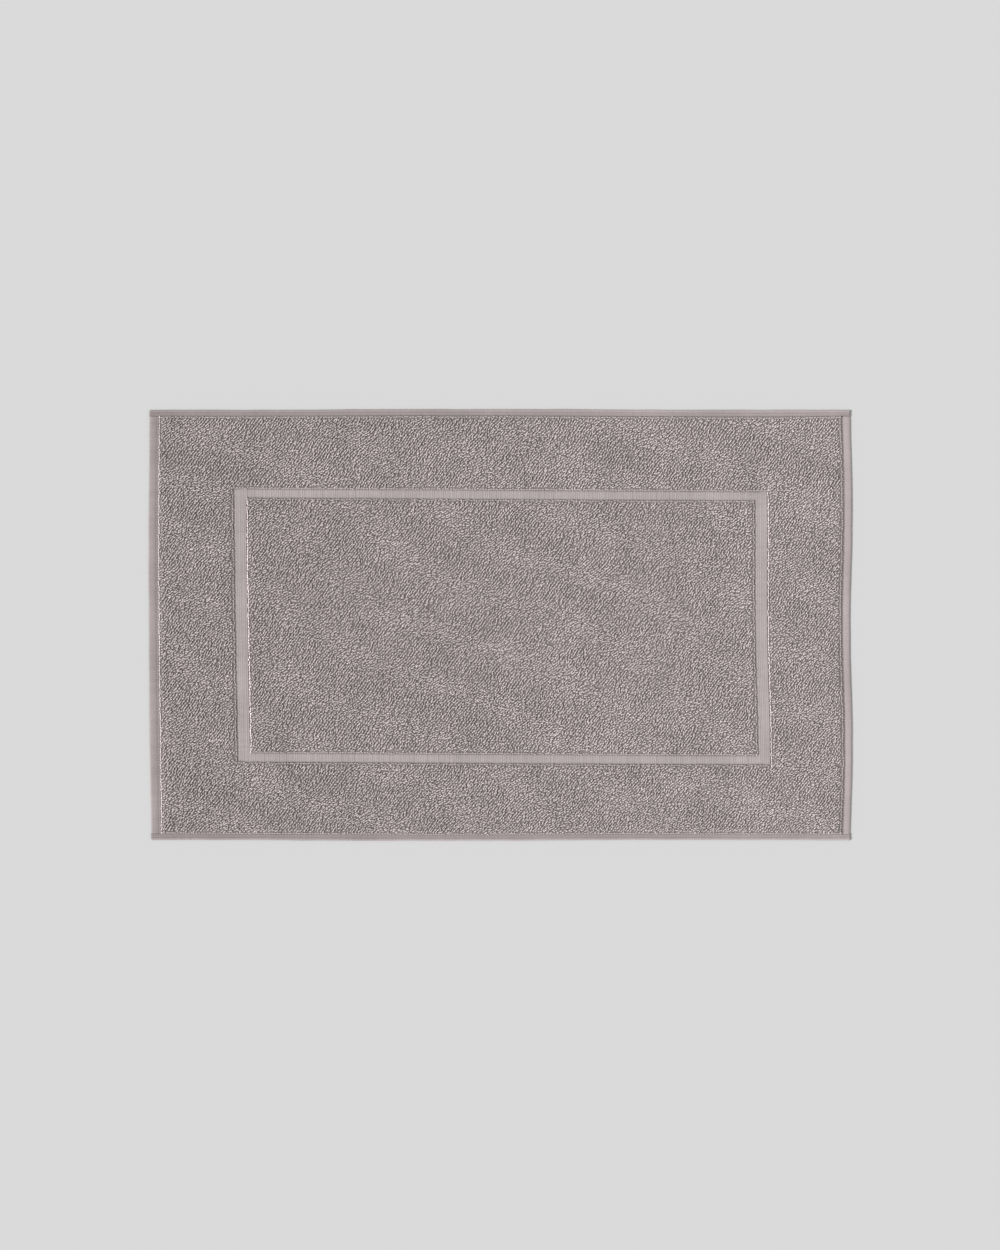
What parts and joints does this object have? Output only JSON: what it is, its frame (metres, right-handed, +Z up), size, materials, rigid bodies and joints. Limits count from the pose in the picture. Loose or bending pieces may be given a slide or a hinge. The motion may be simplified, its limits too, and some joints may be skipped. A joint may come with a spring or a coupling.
{
  "type": "bath mat",
  "caption": "Rectangular terry bath mat with loop pile on both faces, a flat woven frame set into the pile, and double-turned stitched hems.",
  "frame": {"origin": "middle of the mat's footprint, on the floor it lies on", "axes": "+X along the mat's length towards the right end, +Y across its width towards the back, +Z up out of the walking face"},
  "size_m": [0.805, 0.494, 0.0063],
  "materials": {
    "pile": "taupe cotton terry loops, matt",
    "pile_under": "taupe cotton terry loops, pressed flat",
    "ground_cloth": "plain-woven cotton, matt",
    "frame_band": "flat ribbed cotton weave, slightly paler",
    "hem_cloth": "folded flat cotton weave",
    "sewing_thread": "twisted sewing thread, slight sheen",
    "label_tape": "plain satin tape, blank"
  },
  "bodies": {
    "root": {"ground_cloth": "ground_cloth", "centre_pile": "pile", "border_pile_left": "pile", "border_pile_right": "pile", "border_pile_front": "pile", "border_pile_back": "pile", "centre_pile_under": "pile_under", "border_pile_under_left": "pile_under", "border_pile_under_right": "pile_under", "border_pile_under_front": "pile_under", "border_pile_under_back": "pile_under", "frame_band_left": "frame_band", "frame_band_right": "frame_band", "frame_band_front": "frame_band", "frame_band_back": "frame_band", "frame_band_under_left": "frame_band", "frame_band_under_right": "frame_band", "frame_band_under_front": "frame_band", "frame_band_under_back": "frame_band", "end_hem_left": "hem_cloth", "end_hem_right": "hem_cloth", "side_hem_front": "hem_cloth", "side_hem_back": "hem_cloth", "needle_thread_left": "sewing_thread", "needle_thread_right": "sewing_thread", "needle_thread_front": "sewing_thread", "needle_thread_back": "sewing_thread", "bobbin_thread_left": "sewing_thread", "bobbin_thread_right": "sewing_thread", "bobbin_thread_front": "sewing_thread", "bobbin_thread_back": "sewing_thread", "corner_tacks": "sewing_thread", "care_label": "label_tape"}
  },
  "joints": []
}
